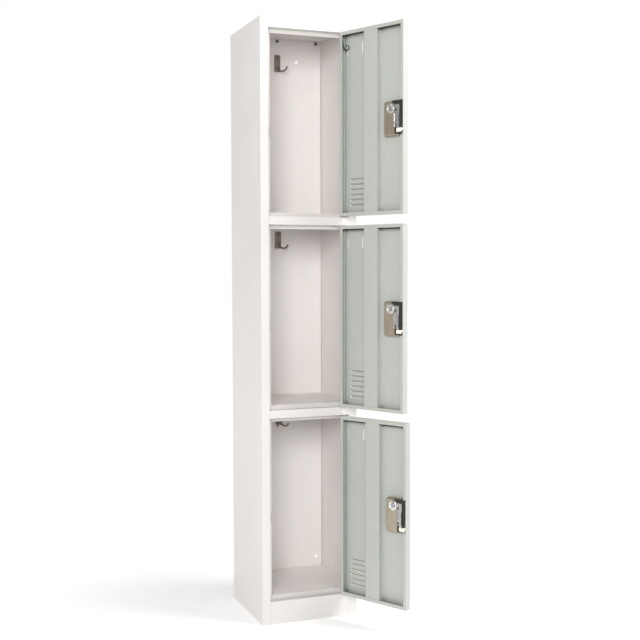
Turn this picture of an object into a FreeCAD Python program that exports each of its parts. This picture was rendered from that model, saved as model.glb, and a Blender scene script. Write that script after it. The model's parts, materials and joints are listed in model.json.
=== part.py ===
import FreeCAD, Part
import math
import os

from FreeCAD import Placement, Rotation, Vector

# Three-tier steel locker cabinet, millimetres.
# +X right, -Y front, +Z up; the origin is the middle of the front face at the floor.

# ---------------------------------------------------------------- cabinet
WIDTH = 308.0
DEPTH = 306.0
BASE_H = 70.0            # front base plate, up to the lowest door opening
OPENING_H = 559.0        # clear height of one door opening
RAIL_H = 25.0            # cross rail between two doors
HEADER_H = 32.0          # rail above the top door
UPRIGHT_W = 25.4         # face width of the frame uprights
BODY_T = 0.8             # body sheet
FRAME_T = 1.5            # door frame sheet

RIGHT = WIDTH / 2
FRONT = 0.0
BACK = DEPTH
TIER_PITCH = OPENING_H + RAIL_H
HEIGHT = BASE_H + 3 * OPENING_H + 2 * RAIL_H + HEADER_H
TIERS = {
    "lower": BASE_H,
    "middle": BASE_H + TIER_PITCH,
    "upper": BASE_H + 2 * TIER_PITCH,
}

# ---------------------------------------------------------------- door frame
STOP_SETBACK = 23.0      # front face to the face of the door stop
STOP_LIP = 12.0          # width of the door stop
JAMB_X = RIGHT - UPRIGHT_W
STOP_X = JAMB_X - STOP_LIP
STOP_Y = FRONT + STOP_SETBACK
STOP_BACK_Y = STOP_Y + FRAME_T
INNER_X = RIGHT - BODY_T
BACK_PANEL_Y = BACK - 11.0
BACK_PANEL_REAR = BACK_PANEL_Y + BODY_T
BACK_PANEL_X = INNER_X - 2.5
REAR_FLANGE_W = 12.0     # side panels turned in along the back
PAN_REAR_FLANGE = 23.0
PAN_SIDE_FLANGE = 20.0

# ---------------------------------------------------------------- door
DOOR_T = 1.5
DOOR_DEPTH = 21.0
DOOR_LIP = 10.2
DOOR_GAP_Z = 2.0
FREE_GAP = 2.5
DOOR_BEND_R = 1.2
DOOR_OPEN = {"lower": 117.5, "middle": 114.5, "upper": 114.5}
DOOR_X0 = -JAMB_X + FREE_GAP
DOOR_X1 = JAMB_X - 3.5
DOOR_H = OPENING_H - 2 * DOOR_GAP_Z
DOOR_INNER_Y = FRONT + DOOR_DEPTH

# ---------------------------------------------------------------- hinges
PIN_R = 1.5
PIN_RUNNING = 0.06
KNUCKLE_R = 3.2
KNUCKLE_L = 10.0
KNUCKLE_GAP = 0.3
LEAF_T = 1.3
LEAF_REACH = 16.5
FRAME_LEAF_X = (JAMB_X - LEAF_T, JAMB_X)
DOOR_LEAF_X = (DOOR_X1, DOOR_X1 + LEAF_T)
PIN_X = DOOR_X1 - 4.8
PIN_Y = FRONT - KNUCKLE_R - 0.3
HINGE_FROM_END = 46.0    # door end to the middle of a hinge
PIN_HEAD_R = 2.9
PIN_HEAD_H = 1.2

# ---------------------------------------------------------------- louvers, plate slots and stiffener
LOUVER_X = (44.0, 103.0)
LOUVER_H = 10.0
LOUVER_OUT = 4.5
LOUVER_PITCH = 15.5
LOUVER_T = 1.2
LOUVER_SILL = 2.8        # skin left standing behind a hood's rim
LOUVERS = 6
LOUVER_TOP = 116.0
PLATE_SLOT_X = (49.0, 109.0)  # upright slots that take a number plate's tabs
PLATE_SLOT_Z = (486.0, 520.0)
PLATE_SLOT_W = 3.2
STIFF_X = (-25.0, 28.0)
STIFF_T = 1.2
STIFF_FLANGE = 8.0

# ---------------------------------------------------------------- handle cup and latch
# Heights here are above the door's bottom.
CUP_X = (-106.0, -49.0)
CUP_Z = (226.0, 328.0)
CUP_T = 1.0
CUP_BACK_Y = FRONT + 18.0
CUP_FLANGE = 4.0
CUP_FLANGE_T = 0.8
CUP_FIT = 0.2
CUP_CORNER_R = 5.0
LIP_NOTCH_Z = (228.0, 328.0)

GUARD_T = 1.0            # dark plate between the cup and the slide
GUARD_OUTLINE = (
    (-82.0, 321.0), (-82.0, 328.0), (-121.0, 328.0), (-121.0, 270.0),
    (-108.0, 230.0), (-92.0, 230.0), (-88.0, 321.0),
)

LIFT = 10.0
SLIDE_X = (-110.0, -91.0)
SLIDE_Z = (249.0, 316.0)
SLIDE_FOOT_X = (-110.0, -102.0)
SLIDE_Y = (CUP_BACK_Y + GUARD_T + 0.3, CUP_BACK_Y + GUARD_T + 1.8)
SLIDE_RIB_T = 1.5
SLIDE_RIB_H = 2.5
SLIDE_RIB_Z = (252.0, 290.0)
RIVET_X = -96.6
RIVET_Z = (263.0, 309.0)
RIVET_R = 2.5
RIVET_RUNNING = 0.1
RIVET_HEAD_R = 4.0
STEM_X = (-100.6, -92.6)
STEM_Z = (273.0, 279.0)
STEM_SLACK = 0.5
TAB_X = (-103.0, -63.0)
TAB_DEPTH = 11.4
TAB_T = 3.0
TAB_LIP_H = 15.0

NOSE_X = (-124.5, -109.0)
NOSE_FOOT_X = (-109.0, -102.0)
NOSE_FOOT_T = 2.5
NOSE_Z = (235.0, 245.5)
HOOK_DROP = 5.0
HOOK_GAP = 0.5
NOSE_BACK_Y = FRONT + 30.5
STRIKE_TOP = 238.5
STRIKE_H = 25.0
STRIKE_REACH = STOP_X + 0.2
STRIKE_NOTCH_H = 19.5

LOCK_X = -76.0
LOCK_Z = 306.0
LOCK_FLANGE_R = 14.5
LOCK_RECESS_R = 10.5
LOCK_BARREL_R = 9.5
LOCK_BORE_R = 3.0
CAM_SHAFT_R = 2.94
CAM_HUB_R = 6.5
CAM_FINGER_W = 7.0
CAM_FINGER_L = 15.5
KEY_FACE_R = 6.5

# ---------------------------------------------------------------- coat hooks and fasteners
HOOK_FOOT = {"lower": 494.0, "middle": 493.5, "upper": 483.0}  # above the door opening's bottom
HOOK_H = 55.0
HOOK_W = 20.5
HOOK_T = 2.0
HOOK_CORNER_R = 4.0
PRONG_R = 2.6
PRONG_TIP_R = 3.3
HOOK_RIVET_Z = (16.0, 46.0)
HOOK_RIVET_R = 2.4
BOLT_R = 2.4
BOLT_HOLE_R = 2.6
BOLT_HEAD_R = 5.0
BOLT_HEAD_H = 0.75
BOLT_X = (-133.5, 0.0, 133.5)
BOLT_DROP = 8.0          # below the underside of a pan
NUT_FLATS = 9.5
NUT_H = 3.0
ANCHOR_R = 4.5
ANCHORS = ((66.5, 1757.0), (130.5, 112.0))


# ---------------------------------------------------------------- helpers
def box(x, y, z):
    """Box from a (low, high) pair on each axis."""
    return Part.makeBox(x[1] - x[0], y[1] - y[0], z[1] - z[0], Vector(x[0], y[0], z[0]))


def fuse(shapes):
    return shapes[0].multiFuse(shapes[1:]).removeSplitter()


def rod_y(radius, x, z, y):
    """Cylinder along Y from y[0] to y[1]."""
    return Part.makeCylinder(radius, y[1] - y[0], Vector(x, y[0], z), Vector(0, 1, 0))


def rod_z(radius, x, y, z):
    """Cylinder along Z from z[0] to z[1]."""
    return Part.makeCylinder(radius, z[1] - z[0], Vector(x, y, z[0]))


def prism_x(points, x):
    """Polygon of (y, z) points drawn at x[0] and pushed to x[1]."""
    corners = [Vector(x[0], y, z) for y, z in points]
    face = Part.Face(Part.makePolygon(corners + [corners[0]]))
    return face.extrude(Vector(x[1] - x[0], 0, 0))


def prism_y(points, y):
    """Polygon of (x, z) points drawn at y[0] and pushed to y[1]."""
    corners = [Vector(x, y[0], z) for x, z in points]
    face = Part.Face(Part.makePolygon(corners + [corners[0]]))
    return face.extrude(Vector(0, y[1] - y[0], 0))


def mirror_x(shape):
    return shape.mirror(Vector(0, 0, 0), Vector(1, 0, 0))


def round_edges(shape, radius, wanted):
    """Fillet the edges whose centre passes the test."""
    edges = [edge for edge in shape.Edges if wanted(edge)]
    return shape.makeFillet(radius, edges)


def along(edge, axis):
    """True when a straight edge runs along the named axis."""
    start, end = edge.Vertexes[0].Point, edge.Vertexes[-1].Point
    run = end - start
    return abs(getattr(run, axis)) > 0.99 * run.Length


def export(name, shape):
    shape.exportStep("parts/%s.step" % name)


def compound(shapes):
    return Part.makeCompound(shapes)


# ---------------------------------------------------------------- cabinet body
def side_panel():
    """Right side panel: one sheet from floor to top, turned in along the back."""
    sheet = box((INNER_X, RIGHT), (FRONT, BACK), (0, HEIGHT))
    flange = box((RIGHT - REAR_FLANGE_W, INNER_X), (BACK - BODY_T, BACK), (0, HEIGHT))
    return fuse([sheet, flange])


def bolt_levels():
    """Heights of the bolts that tie the four pans to the back panel."""
    floors = [HEIGHT] + [z + STOP_LIP for z in TIERS.values()]
    return [z - BODY_T - BOLT_DROP for z in floors]


def bolt_places():
    return [(x, z) for z in bolt_levels() for x in BOLT_X]


def anchor_places():
    return [(side * x, z) for x, z in ANCHORS for side in (-1, 1)]


def hook_foot(tier):
    return TIERS[tier] + HOOK_FOOT[tier]


def hook_rivet_places():
    return [(0.0, hook_foot(tier) + z) for tier in TIERS for z in HOOK_RIVET_Z]


def back_panel():
    """Flat sheet bolted to the pans, set forward of the rear edge and clear of the sides."""
    reach = (BACK_PANEL_Y - 1, BACK_PANEL_REAR + 1)
    panel = box((-BACK_PANEL_X, BACK_PANEL_X), (BACK_PANEL_Y, BACK_PANEL_REAR), (0, HEIGHT - BODY_T))
    holes = [rod_y(BOLT_HOLE_R, x, z, reach) for x, z in bolt_places()]
    holes += [rod_y(BOLT_HOLE_R, x, z, reach) for x, z in hook_rivet_places()]
    holes += [rod_y(ANCHOR_R, x, z, reach) for x, z in anchor_places()]
    return panel.cut(holes)


def pan(top, front_edge, front_half, rear_edge, front_flange):
    """Shelf pan: flat sheet with its edges turned down."""
    under = top - BODY_T
    main = box((-INNER_X, INNER_X), (STOP_BACK_Y, rear_edge), (under, top))
    tongue = box((-front_half, front_half), (front_edge, STOP_BACK_Y), (under, top))
    low = under - PAN_SIDE_FLANGE
    right = box((INNER_X - BODY_T, INNER_X), (STOP_BACK_Y, BACK_PANEL_Y), (low, under))
    rear = box((-INNER_X, INNER_X), (BACK_PANEL_Y - BODY_T, BACK_PANEL_Y),
               (under - PAN_REAR_FLANGE, under))
    pieces = [main, tongue, right, mirror_x(right), rear]
    if front_flange:
        pieces.append(box((-INNER_X, INNER_X), (STOP_BACK_Y, STOP_BACK_Y + BODY_T),
                          (under - STOP_LIP, under)))
    holes = [rod_y(BOLT_HOLE_R, x, under - BOLT_DROP, (BACK_PANEL_Y - 2, BACK_PANEL_Y + 1))
             for x in BOLT_X]
    return fuse(pieces).cut(holes)


def shelf(opening_bottom):
    return pan(opening_bottom + STOP_LIP, STOP_Y, STOP_X, BACK_PANEL_Y, True)


def top_panel():
    return pan(HEIGHT, FRONT + FRAME_T, INNER_X, BACK - BODY_T, False)


# ---------------------------------------------------------------- door frame
def upright():
    """Right frame upright: face, outer leg and jamb bent from one sheet."""
    under_top = (0, HEIGHT - BODY_T)
    shape = fuse([
        box((JAMB_X, INNER_X), (FRONT, FRONT + FRAME_T), (0, HEIGHT)),
        box((INNER_X - FRAME_T, INNER_X), (FRONT + FRAME_T, STOP_BACK_Y), under_top),
        box((JAMB_X, JAMB_X + FRAME_T), (FRONT + FRAME_T, STOP_BACK_Y), under_top),
    ])
    bend = Vector(JAMB_X, FRONT, HEIGHT / 2)
    return round_edges(shape, 1.0, lambda e: (e.CenterOfMass - bend).Length < 1.0)


def door_stop():
    """Full-height strip welded inside the right jamb."""
    return box((STOP_X, JAMB_X), (STOP_Y, STOP_BACK_Y), (0, HEIGHT - BODY_T))


def left_door_stop():
    """Left door stop, notched for the three latch noses."""
    notches = []
    for base in TIERS.values():
        low = base + DOOR_GAP_Z + STRIKE_TOP
        notches.append(box((-JAMB_X + 1.0, -STOP_X + 1.0), (STOP_Y - 1, STOP_BACK_Y + 1),
                           (low, low + STRIKE_NOTCH_H)))
    return mirror_x(door_stop()).cut(notches)


def stop_above(z):
    """Ledge over a door with the stop hanging behind the door's top."""
    return [
        box((-JAMB_X, JAMB_X), (FRONT + FRAME_T, STOP_Y), (z, z + FRAME_T)),
        box((-STOP_X, STOP_X), (STOP_Y, STOP_BACK_Y), (z - STOP_LIP, z + FRAME_T)),
    ]


def stop_below(z):
    """Ledge under a door with the stop standing behind the door's foot."""
    return [
        box((-JAMB_X, JAMB_X), (FRONT + FRAME_T, STOP_Y), (z - FRAME_T, z)),
        box((-STOP_X, STOP_X), (STOP_Y, STOP_BACK_Y), (z - FRAME_T, z + STOP_LIP - BODY_T)),
    ]


def rail_face(low, high):
    return box((-JAMB_X, JAMB_X), (FRONT, FRONT + FRAME_T), (low, high))


def cross_rail(low):
    high = low + RAIL_H
    return fuse([rail_face(low, high)] + stop_above(low) + stop_below(high))


def header_rail():
    low = HEIGHT - HEADER_H
    top_leg = box((-JAMB_X, JAMB_X), (FRONT + FRAME_T, STOP_Y),
                  (HEIGHT - BODY_T - FRAME_T, HEIGHT - BODY_T))
    return fuse([rail_face(low, HEIGHT), top_leg] + stop_above(low))


def bottom_rail():
    """Ledge on the base plate, its leg behind the plate and the stop behind the door."""
    ledge = box((-JAMB_X, JAMB_X), (FRONT, FRONT + FRAME_T), (BASE_H - FRAME_T, BASE_H))
    leg = box((-JAMB_X, JAMB_X), (FRONT + FRAME_T, FRONT + 2 * FRAME_T),
              (BASE_H - 22.0, BASE_H - FRAME_T))
    return fuse([ledge, leg] + stop_below(BASE_H))


def front_base_plate():
    plate = rail_face(0, BASE_H - FRAME_T)
    foot = box((-JAMB_X, JAMB_X), (FRONT + FRAME_T, FRONT + 18.0), (0, FRAME_T))
    return fuse([plate, foot])


def strike_plates():
    """Three plates welded behind the left door stop; each top edge holds a latch nose."""
    plates = []
    for base in TIERS.values():
        top = base + DOOR_GAP_Z + STRIKE_TOP
        plate = box((-JAMB_X + 0.2, -STRIKE_REACH), (STOP_BACK_Y, STOP_BACK_Y + FRAME_T),
                    (top - STRIKE_H, top))
        plates.append(round_edges(
            plate, 3.0, lambda e: along(e, "y") and e.CenterOfMass.x > -STRIKE_REACH - 1))
    return compound(plates)


# ---------------------------------------------------------------- hinges
def leaf(centre, x, own):
    """One hinge leaf between two X planes, bent forward to the knuckles listed in own."""
    low = centre - 2.5 * KNUCKLE_L
    root = FRONT + 0.1
    web_y = (PIN_Y - LEAF_T / 2, PIN_Y + LEAF_T / 2)
    pieces = [box(x, (root, FRONT + LEAF_REACH), (low, low + 5 * KNUCKLE_L))]
    for index in own:
        foot = low + index * KNUCKLE_L
        span = (foot + KNUCKLE_GAP / 2, foot + KNUCKLE_L - KNUCKLE_GAP / 2)
        pieces.append(box(x, (web_y[0], root), span))
        pieces.append(box((PIN_X + PIN_R + 0.5, x[1]), web_y, span))
        pieces.append(rod_z(KNUCKLE_R, PIN_X, PIN_Y, span))
    return fuse(pieces)


def hinge_centres(door_z):
    return (door_z + HINGE_FROM_END, door_z + DOOR_H - HINGE_FROM_END)


def hinge_bore(centre, radius):
    half = 2.5 * KNUCKLE_L + 1
    return rod_z(radius, PIN_X, PIN_Y, (centre - half, centre + half))


def frame_leaves(door_z):
    return compound([leaf(z, FRAME_LEAF_X, (0, 2, 4)).cut(hinge_bore(z, PIN_R))
                     for z in hinge_centres(door_z)])


def door_leaves(door_z):
    bore = PIN_R + PIN_RUNNING
    return compound([leaf(z, DOOR_LEAF_X, (1, 3)).cut(hinge_bore(z, bore))
                     for z in hinge_centres(door_z)])


def hinge_pins():
    """Six headed pins, two for each door."""
    pins = []
    half = 2.5 * KNUCKLE_L
    for z in [centre for base in TIERS.values() for centre in hinge_centres(base + DOOR_GAP_Z)]:
        shank = rod_z(PIN_R, PIN_X, PIN_Y, (z - half, z + half))
        head = rod_z(PIN_HEAD_R, PIN_X, PIN_Y, (z + half, z + half + PIN_HEAD_H))
        tail = rod_z(PIN_HEAD_R, PIN_X, PIN_Y, (z - half - PIN_HEAD_H, z - half))
        pins.append(fuse([shank, head, tail]))
    return compound(pins)


# ---------------------------------------------------------------- door
def louver_profile(top, out, height, skin, sill=0.0):
    """Closed (y, z) section of a louver hood, rounded from its root to its rim.

    The foot on the skin stands higher than the rim by the sill.
    """
    root = Vector(0, skin, top)
    middle = Vector(0, FRONT - 0.72 * out, top - 0.38 * height)
    rim = Vector(0, FRONT - out, top - height)
    foot = Vector(0, skin, top - height + sill)
    arc = Part.Arc(root, middle, rim).toShape()
    wire = Part.Wire([arc, Part.makeLine(rim, foot), Part.makeLine(foot, root)])
    return Part.Face(wire)


def louver(top):
    """Hood pushed out of the door skin and the hollow that opens it downward."""
    x0, x1 = LOUVER_X
    hood = louver_profile(top, LOUVER_OUT, LOUVER_H, FRONT + 0.5)
    hood.translate(Vector(x0, 0, 0))
    hollow = louver_profile(top - LOUVER_T, LOUVER_OUT - LOUVER_T, LOUVER_H - LOUVER_T + 0.01,
                            FRONT + DOOR_T + 0.5, LOUVER_SILL)
    hollow.translate(Vector(x0 + LOUVER_T, 0, 0))
    width = x1 - x0
    return (hood.extrude(Vector(width, 0, 0)),
            hollow.extrude(Vector(width - 2 * LOUVER_T, 0, 0)))


def louver_tops(door_z):
    return [door_z + LOUVER_TOP - i * LOUVER_PITCH for i in range(LOUVERS)]


def plate_slots(z):
    """Two upright slots near the top of the skin for a number plate."""
    half = PLATE_SLOT_W / 2
    return [box((x - half, x + half), (FRONT - 1, FRONT + DOOR_T + 1),
                (z + PLATE_SLOT_Z[0], z + PLATE_SLOT_Z[1])) for x in PLATE_SLOT_X]


def door_panel(z):
    """Door pan: skin, four returns and inner lips, louvers, plate slots, cup opening and notch."""
    top = z + DOOR_H
    outer = box((DOOR_X0, DOOR_X1), (FRONT, DOOR_INNER_Y), (z, top))
    outer = round_edges(outer, DOOR_BEND_R, lambda e: e.CenterOfMass.y < FRONT + 1)
    cavity = box((DOOR_X0 + DOOR_T, DOOR_X1 - DOOR_T), (FRONT + DOOR_T, DOOR_INNER_Y - DOOR_T),
                 (z + DOOR_T, top - DOOR_T))
    window = box((DOOR_X0 + DOOR_LIP, DOOR_X1 - DOOR_LIP), (DOOR_INNER_Y - 5, DOOR_INNER_Y + 1),
                 (z + DOOR_LIP, top - DOOR_LIP))
    notch = box((DOOR_X0 + DOOR_T, DOOR_X0 + DOOR_LIP + 1), (DOOR_INNER_Y - 5, DOOR_INNER_Y + 1),
                (z + LIP_NOTCH_Z[0], z + LIP_NOTCH_Z[1]))
    cup = box(CUP_X, (FRONT - 1, FRONT + DOOR_T + 1), (z + CUP_Z[0], z + CUP_Z[1]))
    cup = round_edges(cup, CUP_CORNER_R + CUP_FIT, lambda e: along(e, "y"))
    hoods, hollows = zip(*[louver(t) for t in louver_tops(z)])
    shell = outer.cut([cavity, window, notch, cup] + plate_slots(z))
    return shell.multiFuse(list(hoods)).cut(list(hollows)).removeSplitter()


def door_stiffener(z):
    """Full-height hat section between the door skin and the plane of the lips."""
    x0, x1 = STIFF_X
    base_y = FRONT + DOOR_T
    crown_y = DOOR_INNER_Y - DOOR_T - 0.3
    span = (z + DOOR_T + 0.5, z + DOOR_H - DOOR_T - 0.5)
    return fuse([
        box(STIFF_X, (crown_y - STIFF_T, crown_y), span),
        box((x0, x0 + STIFF_T), (base_y, crown_y - STIFF_T), span),
        box((x1 - STIFF_T, x1), (base_y, crown_y - STIFF_T), span),
        box((x0 - STIFF_FLANGE, x0), (base_y, base_y + STIFF_T), span),
        box((x1, x1 + STIFF_FLANGE), (base_y, base_y + STIFF_T), span),
    ])


# ---------------------------------------------------------------- handle cup, latch and lock
def slot_y(x, z, radius, y):
    """Upright obround cutter along Y between two heights."""
    ends = [rod_y(radius, x, height, y) for height in z]
    return fuse(ends + [box((x - radius, x + radius), y, z)])


def latch_holes(z, y):
    """Rivet holes and the slot that the lift tab's stem rides in."""
    holes = [rod_y(RIVET_R, RIVET_X, z + height, y) for height in RIVET_Z]
    holes.append(box((STEM_X[0] - STEM_SLACK, STEM_X[1] + STEM_SLACK), y,
                     (z + STEM_Z[0] - STEM_SLACK, z + STEM_Z[1] + LIFT + STEM_SLACK)))
    return holes


def handle_cup(z):
    """Drawn steel cup with a rim on the face of the door."""
    fit = CUP_FIT
    outer = box((CUP_X[0] + fit, CUP_X[1] - fit), (FRONT - CUP_FLANGE_T, CUP_BACK_Y),
                (z + CUP_Z[0] + fit, z + CUP_Z[1] - fit))
    outer = round_edges(outer, CUP_CORNER_R, lambda e: e.CenterOfMass.y > FRONT)
    wall = fit + CUP_T
    inner = box((CUP_X[0] + wall, CUP_X[1] - wall), (FRONT - 2, CUP_BACK_Y - CUP_T),
                (z + CUP_Z[0] + wall, z + CUP_Z[1] - wall))
    inner = round_edges(inner, CUP_CORNER_R - CUP_T, lambda e: e.CenterOfMass.y > FRONT)
    rim = box((CUP_X[0] - CUP_FLANGE, CUP_X[1] + CUP_FLANGE), (FRONT - CUP_FLANGE_T, FRONT),
              (z + CUP_Z[0] - CUP_FLANGE, z + CUP_Z[1] + CUP_FLANGE))
    rim = round_edges(rim, CUP_CORNER_R, lambda e: along(e, "y"))
    holes = latch_holes(z, (CUP_BACK_Y - 3, CUP_BACK_Y + 1))
    holes.append(rod_y(LOCK_BARREL_R + 0.3, LOCK_X, z + LOCK_Z, (CUP_BACK_Y - 3, CUP_BACK_Y + 1)))
    return fuse([outer, rim]).cut([inner] + holes)


def latch_guard(z):
    """Dark plate on the cup's back that the slide runs over."""
    y = (CUP_BACK_Y, CUP_BACK_Y + GUARD_T)
    through = (y[0] - 1, y[1] + 1)
    plate = prism_y([(x, z + height) for x, height in GUARD_OUTLINE], y)
    holes = latch_holes(z, through)
    holes.append(rod_y(LOCK_FLANGE_R + 0.5, LOCK_X, z + LOCK_Z, through))
    return plate.cut(holes)


def slide_rivets(z):
    """Two shouldered rivets that hold the slide to the cup and guide its travel."""
    rivets = []
    for height in RIVET_Z:
        place = (RIVET_X, z + height)
        shank = rod_y(RIVET_R, place[0], place[1], (CUP_BACK_Y - CUP_T, SLIDE_Y[1] + 0.3))
        inner = rod_y(RIVET_HEAD_R, place[0], place[1], (SLIDE_Y[1] + 0.3, SLIDE_Y[1] + 1.5))
        outer = rod_y(RIVET_HEAD_R, place[0], place[1], (CUP_BACK_Y - CUP_T - 1.2, CUP_BACK_Y - CUP_T))
        rivets.append(fuse([shank, inner, outer]))
    return compound(rivets)


def latch_slide(z):
    """Ribbed steel strip behind the cup that carries the nose up and down."""
    x0, x1 = SLIDE_X
    strip = box(SLIDE_X, SLIDE_Y, (z + SLIDE_Z[0], z + SLIDE_Z[1]))
    strip = round_edges(strip, 2.5, lambda e: along(e, "y"))
    foot = box(SLIDE_FOOT_X, SLIDE_Y, (z + NOSE_Z[0], z + SLIDE_Z[0] + 4.0))
    rib_y = (SLIDE_Y[1], SLIDE_Y[1] + SLIDE_RIB_H)
    rib_z = (z + SLIDE_RIB_Z[0], z + SLIDE_RIB_Z[1])
    strip = fuse([strip, foot, box((x0, x0 + SLIDE_RIB_T), rib_y, rib_z),
                  box((x1 - SLIDE_RIB_T, x1), rib_y, rib_z)])
    cuts = [slot_y(RIVET_X, (z + height - LIFT, z + height), RIVET_R + RIVET_RUNNING,
                   (SLIDE_Y[0] - 1, SLIDE_Y[1] + 1)) for height in RIVET_Z]
    return strip.cut(cuts)


def lift_tab(z):
    """Finger tab in the cup, joined to the slide through the slot in the cup's back."""
    back = CUP_BACK_Y - CUP_T - 1.6
    front = back - TAB_DEPTH
    top = z + STEM_Z[0] + TAB_T
    ledge = box(TAB_X, (front, back), (z + STEM_Z[0], top))
    lip = box(TAB_X, (front, front + 2.5), (top - TAB_LIP_H, top))
    stem = box(STEM_X, (back, SLIDE_Y[0]), (z + STEM_Z[0], z + STEM_Z[1]))
    riser = box(STEM_X, (back - 2.0, back), (z + STEM_Z[0], z + STEM_Z[1]))
    shape = fuse([ledge, lip, riser, stem])
    corner = top - TAB_LIP_H
    return round_edges(shape, 3.0, lambda e: along(e, "y") and abs(e.CenterOfMass.z - corner) < 0.1)


def latch_nose(z):
    """Moulded nose: a neck over the strike, a ramped hook behind it and a foot on the slide."""
    low, high = z + NOSE_Z[0], z + NOSE_Z[1]
    seat = SLIDE_Y[1]
    neck = low + HOOK_DROP
    hook_front = STOP_BACK_Y + FRAME_T + HOOK_GAP
    section = [(seat, high), (seat, neck), (hook_front, neck), (hook_front, low),
               (hook_front + 1.2, low), (NOSE_BACK_Y, low + 4.5), (NOSE_BACK_Y, high)]
    hook = prism_x(section, NOSE_X)
    foot = box(NOSE_FOOT_X, (seat, seat + NOSE_FOOT_T), (low, high))
    return fuse([hook, foot])


def lock_cylinder(z):
    """Lock body set into the cup's back; its flange is a raised ring around a recess."""
    place = (LOCK_X, z + LOCK_Z)
    rear = CUP_BACK_Y + 2.4
    front = CUP_BACK_Y - 4.0
    flange = rod_y(LOCK_FLANGE_R, place[0], place[1], (CUP_BACK_Y, rear))
    flange = round_edges(flange, 1.0, lambda e: e.Length > 50 and abs(e.CenterOfMass.y - rear) < 0.01)
    recess = rod_y(LOCK_RECESS_R, place[0], place[1], (rear - 1.2, rear + 1))
    barrel = rod_y(LOCK_BARREL_R, place[0], place[1], (front, CUP_BACK_Y))
    barrel = round_edges(barrel, 0.6, lambda e: e.Length > 50 and abs(e.CenterOfMass.y - front) < 0.01)
    bore = rod_y(LOCK_BORE_R, place[0], place[1], (front - 2, rear + 2))
    return fuse([flange, barrel]).cut([recess, bore])


def lock_cam(z):
    """Key face, shaft and the finger that swings behind the slide; shown unlocked."""
    place = (LOCK_X, z + LOCK_Z)
    plate = (SLIDE_Y[1] + 0.3, SLIDE_Y[1] + 1.5)
    key_y = (CUP_BACK_Y - 6.0, CUP_BACK_Y - 4.3)
    shaft = rod_y(CAM_SHAFT_R, place[0], place[1], (key_y[1], plate[0]))
    hub = rod_y(CAM_HUB_R, place[0], place[1], plate)
    half = CAM_FINGER_W / 2
    finger = box((LOCK_X - half, LOCK_X + half), plate, (place[1], place[1] + CAM_FINGER_L))
    finger = round_edges(finger, 3.0, lambda e: along(e, "y") and e.CenterOfMass.z > place[1] + 1)
    key_face = rod_y(KEY_FACE_R, place[0], place[1], key_y)
    keyway = box((LOCK_X - 0.6, LOCK_X + 0.6), (key_y[0] - 1, key_y[0] + 1.2),
                 (place[1] - 3.5, place[1] + 3.5))
    return fuse([shaft, hub, finger, key_face]).cut(keyway)


# ---------------------------------------------------------------- coat hooks and fasteners
def prong(foot, side):
    """One curved prong with a ball end."""
    path = [(3.5, -1.5, 9.0), (8.0, -11.0, 2.5), (12.5, -27.0, 0.5), (16.5, -39.0, 3.5),
            (18.0, -44.0, 9.5)]
    points = [Vector(side * x, BACK_PANEL_Y + y, foot + z) for x, y, z in path]
    curve = Part.BSplineCurve()
    curve.interpolate(points)
    spine = Part.Wire(curve.toShape())
    ring = Part.Wire(Part.makeCircle(PRONG_R, points[0], curve.tangent(curve.FirstParameter)[0]))
    ball = Part.makeSphere(PRONG_TIP_R, points[-1])
    return [spine.makePipeShell([ring], True, False), ball]


def coat_hook(foot):
    plate = box((-HOOK_W / 2, HOOK_W / 2), (BACK_PANEL_Y - HOOK_T, BACK_PANEL_Y),
                (foot, foot + HOOK_H))
    plate = round_edges(plate, HOOK_CORNER_R, lambda e: along(e, "y"))
    plate = plate.cut([rod_y(BOLT_HOLE_R, 0, foot + z, (BACK_PANEL_Y - 5, BACK_PANEL_Y + 1))
                       for z in HOOK_RIVET_Z])
    pieces = [plate]
    for side in (-1, 1):
        pieces += prong(foot, side)
    behind = box((-60, 60), (BACK_PANEL_Y, BACK), (foot - 60, foot + HOOK_H + 60))
    return fuse(pieces).cut(behind)


def domed_head(radius, height, x, z, y):
    """Low dome facing the front, its flat side at y."""
    sphere_r = (radius ** 2 + height ** 2) / (2 * height)
    ball = Part.makeSphere(sphere_r, Vector(x, y + sphere_r - height, z))
    keep = box((x - radius - 1, x + radius + 1), (y - height - 1, y), (z - radius - 1, z + radius + 1))
    return ball.common(keep)


def hook_rivets():
    """Six rivets, two through each coat hook."""
    rivets = []
    for x, z in hook_rivet_places():
        front = BACK_PANEL_Y - HOOK_T
        rear = BACK_PANEL_REAR
        rivets.append(fuse([
            domed_head(4.2, 1.8, x, z, front),
            rod_y(HOOK_RIVET_R, x, z, (front, rear)),
            rod_y(BOLT_HEAD_R - 0.6, x, z, (rear, rear + BOLT_HEAD_H)),
        ]))
    return compound(rivets)


def body_bolts():
    """Twelve bolts through the back panel into the rear flanges of the four pans."""
    rear = BACK_PANEL_REAR
    inside = BACK_PANEL_Y - BODY_T - NUT_H - 1.0
    bolts = []
    for x, z in bolt_places():
        shank = rod_y(BOLT_R, x, z, (inside, rear))
        head = rod_y(BOLT_HEAD_R, x, z, (rear, rear + BOLT_HEAD_H))
        bolts.append(fuse([shank, head]))
    return compound(bolts)


def hex_nut(x, z):
    radius = NUT_FLATS / math.sqrt(3)
    back = BACK_PANEL_Y - BODY_T
    corners = []
    for step in range(6):
        angle = math.radians(60 * step)
        corners.append(Vector(x + radius * math.cos(angle), back, z + radius * math.sin(angle)))
    block = Part.Face(Part.makePolygon(corners + [corners[0]])).extrude(Vector(0, -NUT_H, 0))
    return block.cut(rod_y(BOLT_R, x, z, (back - NUT_H - 1, back + 1)))


def body_nuts():
    return compound([hex_nut(x, z) for x, z in bolt_places()])


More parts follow.
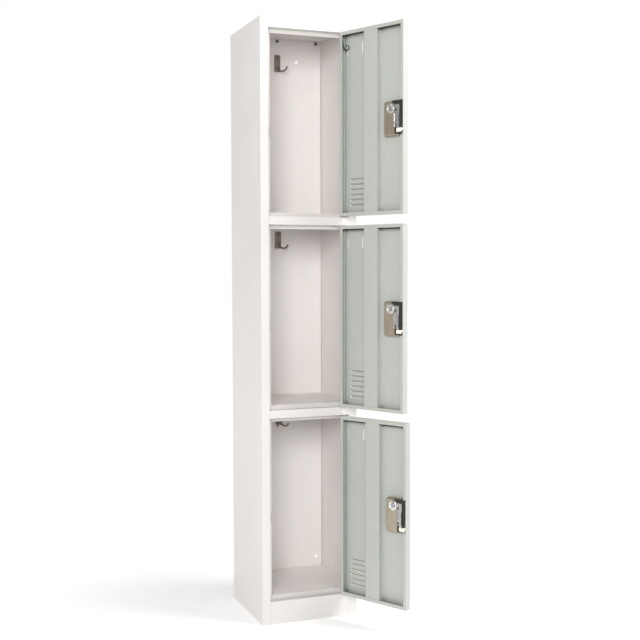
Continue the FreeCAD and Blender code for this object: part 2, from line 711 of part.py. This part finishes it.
# ---------------------------------------------------------------- assembly
def cabinet_nodes():
    upper_rail = BASE_H + OPENING_H + TIER_PITCH
    lower_rail = BASE_H + OPENING_H
    return {
        "right_side_panel": side_panel(),
        "left_side_panel": mirror_x(side_panel()),
        "back_panel": back_panel(),
        "top_panel": top_panel(),
        "upper_shelf": shelf(TIERS["upper"]),
        "lower_shelf": shelf(TIERS["middle"]),
        "bottom_panel": shelf(TIERS["lower"]),
        "right_upright": upright(),
        "left_upright": mirror_x(upright()),
        "right_door_stop": door_stop(),
        "left_door_stop": left_door_stop(),
        "header_rail": header_rail(),
        "upper_cross_rail": cross_rail(upper_rail),
        "lower_cross_rail": cross_rail(lower_rail),
        "bottom_rail": bottom_rail(),
        "front_base_plate": front_base_plate(),
        "strike_plates": strike_plates(),
        "hinge_pins": hinge_pins(),
        "hook_rivets": hook_rivets(),
        "body_bolts": body_bolts(),
        "body_nuts": body_nuts(),
    }


def fixed_nodes(tier):
    """Pieces of one tier that stay on the cabinet."""
    door_z = TIERS[tier] + DOOR_GAP_Z
    return {
        "frame_hinge_leaves": frame_leaves(door_z),
        "coat_hook": coat_hook(hook_foot(tier)),
    }


def swinging_nodes(tier):
    """Pieces of one tier that swing with its door, drawn closed."""
    door_z = TIERS[tier] + DOOR_GAP_Z
    return {
        "door_panel": door_panel(door_z),
        "door_stiffener": door_stiffener(door_z),
        "door_hinge_leaves": door_leaves(door_z),
        "handle_cup": handle_cup(door_z),
        "latch_guard": latch_guard(door_z),
        "slide_rivets": slide_rivets(door_z),
        "lock_cylinder": lock_cylinder(door_z),
        "lock_cam": lock_cam(door_z),
        "latch_slide": latch_slide(door_z),
        "lift_tab": lift_tab(door_z),
        "latch_nose": latch_nose(door_z),
    }


def swing(shape, angle):
    turn = Placement(Vector(0, 0, 0), Rotation(Vector(0, 0, 1), angle), Vector(PIN_X, PIN_Y, 0))
    return shape.transformed(turn.toMatrix())


def main():
    os.makedirs("parts", exist_ok=True)
    for name, shape in cabinet_nodes().items():
        export(name, shape)
    for tier in TIERS:
        for name, shape in fixed_nodes(tier).items():
            export("%s_%s" % (tier, name), shape)
        for name, shape in swinging_nodes(tier).items():
            export("%s_%s" % (tier, name), swing(shape, DOOR_OPEN[tier]))


main()
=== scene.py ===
"""Looks, light, floor and camera for the three-tier locker cabinet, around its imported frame."""

import json
import math

import bpy
from mathutils import Matrix, Vector


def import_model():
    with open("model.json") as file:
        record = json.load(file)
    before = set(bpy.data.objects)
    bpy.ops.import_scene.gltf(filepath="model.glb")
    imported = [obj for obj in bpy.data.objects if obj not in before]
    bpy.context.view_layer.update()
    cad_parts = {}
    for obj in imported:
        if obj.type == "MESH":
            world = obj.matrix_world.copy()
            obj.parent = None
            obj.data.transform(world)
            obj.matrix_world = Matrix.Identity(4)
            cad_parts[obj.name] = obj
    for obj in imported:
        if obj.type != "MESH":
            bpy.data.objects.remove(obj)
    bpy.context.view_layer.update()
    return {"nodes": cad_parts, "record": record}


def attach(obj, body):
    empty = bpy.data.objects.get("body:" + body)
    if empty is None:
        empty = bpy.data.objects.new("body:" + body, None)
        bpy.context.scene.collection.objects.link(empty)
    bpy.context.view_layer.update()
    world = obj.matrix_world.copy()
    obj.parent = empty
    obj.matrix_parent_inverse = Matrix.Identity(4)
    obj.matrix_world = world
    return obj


MM = 0.001

# ---------------------------------------------------------------- camera
CAMERA_AT = Vector((-1.1572, -3.0880, 1.0809))
CAMERA_YAW = math.radians(21.09)
CAMERA_PITCH = math.radians(2.71)
CAMERA_ROLL = math.radians(-0.15)
CAMERA_LENS = 61.05

# ---------------------------------------------------------------- light
WORLD_LIGHT = 0.50
COVE_LIGHT = 1.0
LIGHTS = (
    # name, place, aimed at, width, height, watts, colour
    ("key", (-1.48, -3.26, 1.88), (0.0, 0.0, 0.9), 1.3, 1.3, 93.0, (1.0, 1.0, 1.0)),
    ("right", (2.5, -1.7, 3.2), (0.2, 0.0, 1.4), 1.8, 1.8, 120.0, (1.0, 1.0, 1.0)),
)

# ---------------------------------------------------------------- paint and metal, linear RGB
BODY_PAINT = (0.800, 0.764, 0.742)
# the frame is the body paint made darker: painted shade that offsets the stronger lamp light on its
# front faces
FRAME_PAINT_WITH_SHADE = (0.622, 0.600, 0.582)
DOOR_PAINT = (0.430, 0.450, 0.415)
PRIMER = (0.430, 0.420, 0.400)
# near-black for the strips that paint the shade under each door's top lip
LIP_SHADE_BLACK = (0.014, 0.014, 0.013)

# ---------------------------------------------------------------- floor, metres
FLOOR_HALF_SIDE = 20.0
COVE_START = 0.30
COVE_END = 1.10
COVE_NEAR = 0.15

# ---------------------------------------------------------------- black strips painting the shade under the door lips, mm on the closed door
PIN = (120.3, -3.5)
DOOR_OPEN = {"lower": 117.5, "middle": 114.5, "upper": 114.5}
DOOR_FOOT = {"lower": 72.0, "middle": 656.0, "upper": 1240.0}
STRIP_R = 1.6
STRIP_Y = 17.0
STRIP_Z = 542.4
STRIP_FREE = [(x, STRIP_Y, STRIP_Z) for x in (-123.0, -90.0, -60.0, -28.0)]
STRIP_HINGE = [(x, STRIP_Y, STRIP_Z) for x in (31.0, 60.0, 90.0, 121.0)]
LOOSE_END = [
    (114.0, STRIP_Y, STRIP_Z),
    (121.0, 16.0, 540.0),
    (120.5, 13.0, 528.0),
    (119.5, 10.0, 512.0),
    (115.0, 8.0, 502.0),
    (106.0, 7.0, 500.0),
    (99.0, 7.5, 506.0),
    (101.0, 8.5, 514.0),
    (108.0, 9.5, 514.5),
]
STRIP_LOOSE = STRIP_HINGE[:3] + LOOSE_END


# ---------------------------------------------------------------- shading
class Shader:
    """One node-based material, built by adding nodes and wiring them as they are made."""

    def __init__(self, name):
        self.material = bpy.data.materials.new(name)
        self.material.use_nodes = True
        self.tree = self.material.node_tree
        self.tree.nodes.clear()
        self.place = self.node("ShaderNodeTexCoord").outputs["Object"]

    def node(self, kind, settings=None, inputs=None):
        made = self.tree.nodes.new(kind)
        for key, value in (settings or {}).items():
            setattr(made, key, value)
        for key, value in (inputs or {}).items():
            self.feed(made.inputs[key], value)
        return made

    def feed(self, socket, value):
        if isinstance(value, bpy.types.NodeSocket):
            self.tree.links.new(value, socket)
        else:
            socket.default_value = value

    def noise(self, scale, detail=2.0, roughness=0.5, stretch=(1, 1, 1)):
        where = self.node(
            "ShaderNodeVectorMath",
            {"operation": "MULTIPLY"},
            {0: self.place, 1: stretch},
        ).outputs[0]
        made = self.node(
            "ShaderNodeTexNoise",
            inputs={"Vector": where, "Scale": scale, "Detail": detail, "Roughness": roughness},
        )
        return made.outputs["Fac"]

    def spread(self, value, low, high, out_low=0.0, out_high=1.0):
        made = self.node(
            "ShaderNodeMapRange",
            {"interpolation_type": "SMOOTHSTEP"},
            {"Value": value, "From Min": low, "From Max": high, "To Min": out_low, "To Max": out_high},
        )
        return made.outputs["Result"]

    def math(self, operation, a, b=0.0):
        return self.node("ShaderNodeMath", {"operation": operation}, {0: a, 1: b}).outputs[0]

    def mix(self, factor, a, b, blend="MIX"):
        made = self.node(
            "ShaderNodeMix",
            {"data_type": "RGBA", "blend_type": blend},
            {"Factor": factor, "A": as_colour(a), "B": as_colour(b)},
        )
        return made.outputs["Result"]

    def edges(self, radius):
        """About 1 on sharp edges and 0 on flats."""
        rounded = self.node("ShaderNodeBevel", {"samples": 6}, {"Radius": radius}).outputs[0]
        flat = self.node("ShaderNodeNewGeometry").outputs["Normal"]
        along = self.node("ShaderNodeVectorMath", {"operation": "DOT_PRODUCT"}, {0: rounded, 1: flat})
        return self.spread(along.outputs["Value"], 0.985, 0.80)

    def corners(self, reach):
        """About 1 deep in an inside corner and 0 on open faces."""
        made = self.node("ShaderNodeAmbientOcclusion", {"samples": 8}, {"Distance": reach})
        return self.spread(made.outputs["AO"], 0.62, 0.30)

    def pockets(self, reach):
        """About 1 inside narrow slots and pressed hoods, 0 in ordinary corners."""
        made = self.node("ShaderNodeAmbientOcclusion", {"samples": 8}, {"Distance": reach})
        return self.spread(made.outputs["AO"], 0.62, 0.42)

    def bump(self, height, distance, strength, radius=0.0006):
        rounded = self.node("ShaderNodeBevel", {"samples": 4}, {"Radius": radius}).outputs[0]
        made = self.node(
            "ShaderNodeBump",
            inputs={"Height": height, "Distance": distance, "Strength": strength, "Normal": rounded},
        )
        return made.outputs[0]

    def finish(self, **inputs):
        shader = self.node("ShaderNodeBsdfPrincipled")
        for key, value in inputs.items():
            self.feed(shader.inputs[key.replace("_", " ")], value)
        out = self.node("ShaderNodeOutputMaterial")
        self.tree.links.new(shader.outputs[0], out.inputs["Surface"])
        return self.material


def as_colour(value):
    """Adds the alpha that a colour socket needs; anything else passes through."""
    if isinstance(value, tuple) and len(value) == 3:
        return (*value, 1.0)
    return value


def shaded(colour, by):
    """The colour made darker or lighter by a factor."""
    return tuple(min(1.0, c * by) for c in colour)


def enamel(name, colour, roughness=0.38, wear=0.35, corner_shade=0.10, pockets_painted_light=False):
    """Semi-gloss enamel on sheet steel: cloudy tone, orange peel, worn edges, and painted shade that
    darkens inside corners.

    The pocket option keeps the painted corner shade out of narrow slots and pressed hoods and paints
    them paler, as painted light standing in for light that reaches into them.
    """
    s = Shader(name)
    cloud = s.spread(s.noise(3.5, 3.0), 0.30, 0.70)
    tone = s.mix(cloud, shaded(colour, 0.975), shaded(colour, 1.02))
    rubs = s.spread(s.noise(26.0, 6.0, 0.62, (1.0, 1.0, 0.22)), 0.63, 0.78)
    tone = s.mix(s.math("MULTIPLY", rubs, 0.10), tone, shaded(colour, 0.86))
    patchy = s.spread(s.noise(70.0, 4.0, 0.6), 0.42, 0.62)
    worn = s.math("MULTIPLY", s.math("MULTIPLY", s.edges(0.0012), patchy), wear)
    tone = s.mix(worn, tone, PRIMER)
    # painted shade: inside corners darkened towards 0.30 of the colour, where shade falls
    corner_shade_amount = s.math("MULTIPLY", s.corners(0.022), corner_shade)
    if pockets_painted_light:
        pocket = s.pockets(0.005)
        corner_shade_amount = s.math("MULTIPLY", corner_shade_amount, s.math("SUBTRACT", 1.0, pocket))
    tone = s.mix(corner_shade_amount, tone, shaded(colour, 0.30))
    # painted light: narrow slots and pressed hoods painted paler, standing in for light reaching into
    # them
    if pockets_painted_light:
        tone = s.mix(pocket, tone, shaded(colour, 2.0))
    gloss = s.spread(s.noise(14.0, 4.0), 0.25, 0.75, roughness - 0.05, roughness + 0.06)
    gloss = s.math("ADD", gloss, s.math("MULTIPLY", rubs, 0.08))
    peel = s.noise(750.0, 2.0)
    return s.finish(
        Base_Color=tone,
        Roughness=gloss,
        Normal=s.bump(peel, 0.0001, 0.22),
    )


def metal(name, colour, roughness=0.34, grain=(1.0, 1.0, 0.05), grain_scale=700.0, tarnish=0.25):
    """Bare or plated steel: drawn grain, tarnish in soft patches and brighter rubbed edges."""
    s = Shader(name)
    lines = s.noise(grain_scale, 3.0, 0.6, grain)
    patches = s.spread(s.noise(55.0, 5.0, 0.6), 0.35, 0.70)
    tone = s.mix(s.spread(lines, 0.3, 0.7), shaded(colour, 0.90), shaded(colour, 1.08))
    tone = s.mix(s.math("MULTIPLY", patches, tarnish), tone, shaded(colour, 0.62))
    tone = s.mix(s.math("MULTIPLY", s.edges(0.0007), 0.45), tone, shaded(colour, 1.45))
    gloss = s.spread(lines, 0.25, 0.75, roughness - 0.06, roughness + 0.08)
    gloss = s.math("ADD", gloss, s.math("MULTIPLY", patches, 0.10))
    return s.finish(
        Base_Color=tone,
        Metallic=1.0,
        Roughness=gloss,
        Normal=s.bump(lines, 0.0001, 0.18, 0.0004),
    )


def nylon(name, colour):
    """Moulded natural nylon: waxy, with a fine moulded texture and scuffed edges."""
    s = Shader(name)
    cloud = s.spread(s.noise(90.0, 3.0), 0.3, 0.7)
    tone = s.mix(cloud, shaded(colour, 0.94), shaded(colour, 1.03))
    tone = s.mix(s.math("MULTIPLY", s.edges(0.0008), 0.35), tone, shaded(colour, 0.80))
    gloss = s.spread(s.noise(160.0, 3.0), 0.3, 0.7, 0.42, 0.56)
    return s.finish(
        Base_Color=tone,
        Roughness=gloss,
        Subsurface_Weight=0.15,
        Subsurface_Radius=(0.002, 0.0016, 0.001),
        Normal=s.bump(s.noise(1400.0, 2.0), 0.0001, 0.15, 0.0004),
    )


def shade_strip_finish(name, colour):
    """Near-black for the strips of painted shade: dull, lighter in patches."""
    s = Shader(name)
    lighter_patches = s.spread(s.noise(120.0, 4.0, 0.6), 0.45, 0.75)
    tone = s.mix(s.math("MULTIPLY", lighter_patches, 0.35), colour, shaded(colour, 3.0))
    gloss = s.spread(s.noise(300.0, 3.0), 0.3, 0.7, 0.58, 0.72)
    return s.finish(
        Base_Color=tone,
        Roughness=gloss,
        Normal=s.bump(s.noise(900.0, 3.0), 0.0001, 0.25, 0.0004),
    )


def make_materials():
    return {
        "body_paint": enamel("body_enamel", BODY_PAINT),
        "frame_paint": enamel("frame_enamel_with_shade", FRAME_PAINT_WITH_SHADE, 0.36, corner_shade=0.02),
        # door enamel: strong painted shade in its corners and under the lips, paler painted light in
        # the louver pockets
        "door_paint": enamel("door_enamel", DOOR_PAINT, 0.38, corner_shade=0.85, pockets_painted_light=True),
        "cup_steel": metal("drawn_cup_steel", (0.50, 0.43, 0.335), 0.33, (1.0, 1.0, 0.06)),
        # near-black on the latch guard: painted shade for the shadowed gap beside the latch mechanism
        "dark_steel": enamel("latch_gap_shade_black", (0.016, 0.016, 0.015), 0.42, 0.12),
        "tab_steel": metal("tab_steel", (0.55, 0.55, 0.53), 0.34, (0.06, 0.06, 1.0)),
        "zinc_steel": metal("zinc_plate", (0.52, 0.51, 0.49), 0.30, (1.0, 1.0, 0.3), 400.0),
        "hook_steel": metal("hook_plate", (0.30, 0.255, 0.225), 0.40, (1.0, 1.0, 0.3), 400.0),
        "fastener_steel": metal("dark_zinc", (0.20, 0.185, 0.17), 0.40, (1.0, 1.0, 1.0), 500.0),
        "lock_metal": metal("lock_plate", (0.86, 0.85, 0.83), 0.22, (1.0, 1.0, 1.0), 600.0, 0.15),
        "nylon": nylon("natural_nylon", (0.86, 0.82, 0.72)),
    }


def dress(frame, materials):
    """Gives every CAD node the material of its slot in the record."""
    for part in frame["record"]["subparts"]:
        mesh = frame["nodes"][part["node"]].data
        mesh.materials.clear()
        mesh.materials.append(materials[part["material_slot"]])


# ---------------------------------------------------------------- strips
def door_points(points, tier):
    """Points given on the closed door, in millimetres, carried to where the door stands open."""
    angle = math.radians(DOOR_OPEN[tier])
    turn = Matrix.Rotation(angle, 3, "Z")
    pin = Vector((PIN[0], PIN[1], 0.0))
    lift = Vector((0.0, 0.0, DOOR_FOOT[tier]))
    return [(turn @ (Vector(p) - pin) + pin + lift) * MM for p in points]


def add_lip_shade_strips(material):
    """Black strips of painted shade behind each door's top lip; one end hangs loose on the upper door.
    """
    for tier in DOOR_OPEN:
        curve = bpy.data.curves.new("%s_lip_shade_strip" % tier, "CURVE")
        curve.dimensions = "3D"
        curve.bevel_depth = STRIP_R * MM
        curve.bevel_resolution = 3
        curve.resolution_u = 8
        curve.use_fill_caps = True
        routes = [STRIP_FREE, STRIP_LOOSE if tier == "upper" else STRIP_HINGE]
        for route in routes:
            spline = curve.splines.new("NURBS")
            spline.points.add(len(route) - 1)
            for point, place in zip(spline.points, door_points(route, tier)):
                point.co = (*place, 1.0)
            spline.order_u = 3
            spline.use_endpoint_u = True
        curve.materials.append(material)
        strip = bpy.data.objects.new("%s_lip_shade_strip" % tier, curve)
        bpy.context.scene.collection.objects.link(strip)
        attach(strip, "%s_door" % tier)


# ---------------------------------------------------------------- studio
def add_lights():
    """Soft rectangular lamps, each aimed at its own point."""
    for name, place, aim, width, height, watts, colour in LIGHTS:
        data = bpy.data.lights.new(name, "AREA")
        data.shape = "RECTANGLE"
        data.size = width
        data.size_y = height
        data.energy = watts
        data.color = colour
        lamp = bpy.data.objects.new(name, data)
        lamp.location = place
        lamp.rotation_mode = "QUATERNION"
        lamp.rotation_quaternion = (Vector(aim) - Vector(place)).to_track_quat("-Z", "Y")
        bpy.context.scene.collection.objects.link(lamp)


def add_world():
    """White to the camera, and a dimmer even light on the cabinet."""
    world = bpy.data.worlds.new("studio")
    bpy.context.scene.world = world
    world.use_nodes = True
    tree = world.node_tree
    tree.nodes.clear()
    ray = tree.nodes.new("ShaderNodeLightPath")
    level = tree.nodes.new("ShaderNodeMapRange")
    level.inputs["To Min"].default_value = WORLD_LIGHT
    level.inputs["To Max"].default_value = 1.0
    tree.links.new(ray.outputs["Is Camera Ray"], level.inputs["Value"])
    back = tree.nodes.new("ShaderNodeBackground")
    back.inputs["Color"].default_value = (1.0, 1.0, 1.0, 1.0)
    tree.links.new(level.outputs["Result"], back.inputs["Strength"])
    out = tree.nodes.new("ShaderNodeOutputWorld")
    tree.links.new(back.outputs[0], out.inputs["Surface"])


def add_floor():
    """Pale floor that turns into an evenly lit cove away from the cabinet."""
    mesh = bpy.data.meshes.new("studio_floor")
    side = FLOOR_HALF_SIDE
    corners = [(-side, -side, 0), (side, -side, 0), (side, side, 0), (-side, side, 0)]
    mesh.from_pydata([Vector(c) for c in corners], [], [(0, 1, 2, 3)])
    floor = bpy.data.objects.new("studio_floor", mesh)
    bpy.context.scene.collection.objects.link(floor)
    s = Shader("studio_floor")
    cloud = s.spread(s.noise(0.8, 3.0), 0.3, 0.7)
    tone = s.mix(cloud, (0.93, 0.93, 0.93), (0.96, 0.96, 0.96))
    reach = s.node("ShaderNodeVectorMath", {"operation": "LENGTH"}, {0: s.place}).outputs["Value"]
    lit = s.spread(reach, COVE_START, COVE_END, COVE_NEAR * COVE_LIGHT, COVE_LIGHT)
    tone = s.mix(s.spread(reach, COVE_START, COVE_END), tone, (0.0, 0.0, 0.0))
    mesh.materials.append(
        s.finish(
            Base_Color=tone,
            Roughness=0.7,
            Emission_Color=(1.0, 1.0, 1.0, 1.0),
            Emission_Strength=lit,
            Normal=s.bump(cloud, 0.0001, 0.1),
        )
    )


def add_camera():
    """Camera at the viewing angle, from its yaw, pitch and roll."""
    forward = Vector(
        (
            math.sin(CAMERA_YAW) * math.cos(CAMERA_PITCH),
            math.cos(CAMERA_YAW) * math.cos(CAMERA_PITCH),
            -math.sin(CAMERA_PITCH),
        )
    )
    level = Vector((math.cos(CAMERA_YAW), -math.sin(CAMERA_YAW), 0.0))
    upright = level.cross(forward)
    right = level * math.cos(CAMERA_ROLL) + upright * math.sin(CAMERA_ROLL)
    up = upright * math.cos(CAMERA_ROLL) - level * math.sin(CAMERA_ROLL)
    data = bpy.data.cameras.new("studio_camera")
    data.sensor_width = 36.0
    data.lens = CAMERA_LENS
    data.clip_start = 0.05
    data.clip_end = 50.0
    camera = bpy.data.objects.new("studio_camera", data)
    turn = Matrix((right, up, -forward)).transposed().to_4x4()
    camera.matrix_world = Matrix.Translation(CAMERA_AT) @ turn
    bpy.context.scene.collection.objects.link(camera)
    bpy.context.scene.camera = camera


def main():
    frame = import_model()
    dress(frame, make_materials())
    # painted shade: black strips under each door's top lip
    add_lip_shade_strips(shade_strip_finish("lip_shade_strip_black", LIP_SHADE_BLACK))
    add_floor()
    add_lights()
    add_world()
    add_camera()
    bpy.context.scene.view_settings.view_transform = "Standard"


main()
